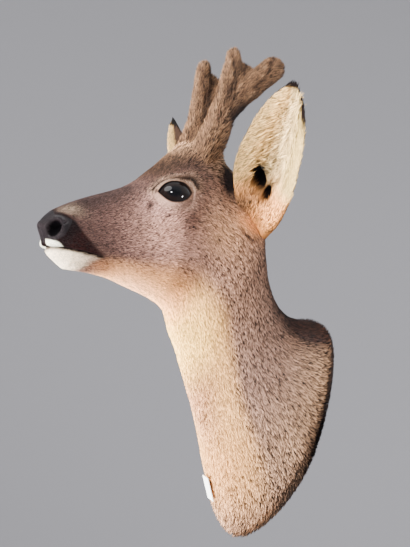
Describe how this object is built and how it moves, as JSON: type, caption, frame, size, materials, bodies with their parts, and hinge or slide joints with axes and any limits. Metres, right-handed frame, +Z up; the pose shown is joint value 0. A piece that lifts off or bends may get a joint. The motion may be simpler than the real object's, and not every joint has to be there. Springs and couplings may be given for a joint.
{
  "type": "roe deer shoulder mount",
  "caption": "Wall-hung shoulder mount of a roe buck in velvet, looking straight ahead, with upright ears and antlers, on a flush wooden back board.",
  "frame": {"origin": "middle of the back board's rear face, which lies against the wall", "axes": "+Y into the wall, -Y the way the animal looks, +X its left side, +Z up"},
  "size_m": [0.2204, 0.28, 0.4132],
  "materials": {
    "coat": "short flat fur over tanned hide, grey-brown with buff ticking, pale throat",
    "ears": "long cream hair inside, grey-brown behind, dark tip",
    "nose": "bare black pebbled skin, satin",
    "eyes": "dark glass, polished",
    "antlers": "brown velvet, matt",
    "board": "bare sanded board",
    "hanger": "plain pressed plate",
    "screws": "plain",
    "tag": "blank white paper"
  },
  "bodies": {
    "root": {"back_board": "board", "hanger": "hanger", "hanger_screw_1": "screws", "hanger_screw_2": "screws", "shoulders": "coat", "neck_lower": "coat", "neck_upper": "coat", "head": "coat", "lower_jaw": "coat", "nose_pad": "nose", "eye_left": "eyes", "eye_right": "eyes", "ear_left": "ears", "ear_right": "ears", "antler_left_front": "antlers", "antler_left_rear": "antlers", "antler_right_front": "antlers", "antler_right_rear": "antlers", "tag": "tag"}
  },
  "joints": []
}
